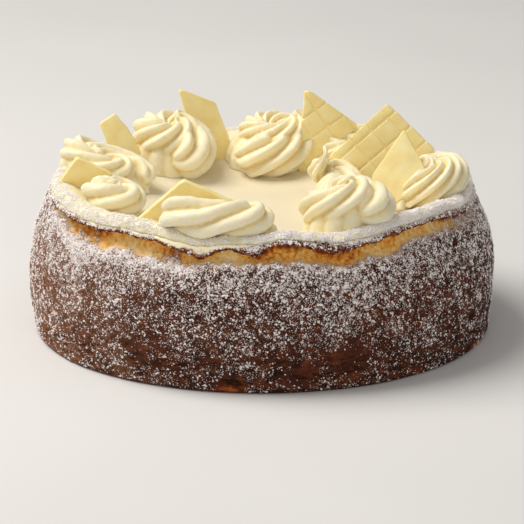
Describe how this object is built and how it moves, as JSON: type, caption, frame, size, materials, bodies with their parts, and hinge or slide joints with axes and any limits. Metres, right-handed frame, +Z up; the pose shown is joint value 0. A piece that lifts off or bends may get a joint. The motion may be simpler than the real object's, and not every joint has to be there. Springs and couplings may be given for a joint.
{
  "type": "cheesecake",
  "caption": "Whole round baked cheesecake with a cracked browned rim, a cream top, piped cream swirls round the edge and white chocolate shards.",
  "frame": {"origin": "middle of the cake's flat underside, where it stands", "axes": "+Z up, -Y to the side seen from the front, where the lip of the crust droops a little left of the middle, +X to the right of that side"},
  "size_m": [0.2394, 0.2395, 0.112],
  "materials": {
    "baked_cake": "dark brown baked skin under icing sugar, golden where it has cracked open",
    "cream": "soft ivory whipped cream with a faint sheen",
    "white_chocolate": "pale yellow white chocolate with a low satin sheen"
  },
  "bodies": {
    "root": {"cake_body": "baked_cake", "cream_layer": "cream", "cream_swirl_1": "cream", "cream_swirl_2": "cream", "cream_swirl_3": "cream", "cream_swirl_4": "cream", "cream_swirl_5": "cream", "cream_swirl_6": "cream", "cream_swirl_7": "cream", "cream_swirl_8": "cream", "cream_swirl_9": "cream", "chocolate_piece_1": "white_chocolate", "chocolate_piece_2": "white_chocolate", "chocolate_piece_3": "white_chocolate", "chocolate_piece_4": "white_chocolate", "chocolate_piece_5": "white_chocolate", "chocolate_piece_6": "white_chocolate", "chocolate_piece_7": "white_chocolate"}
  },
  "joints": []
}
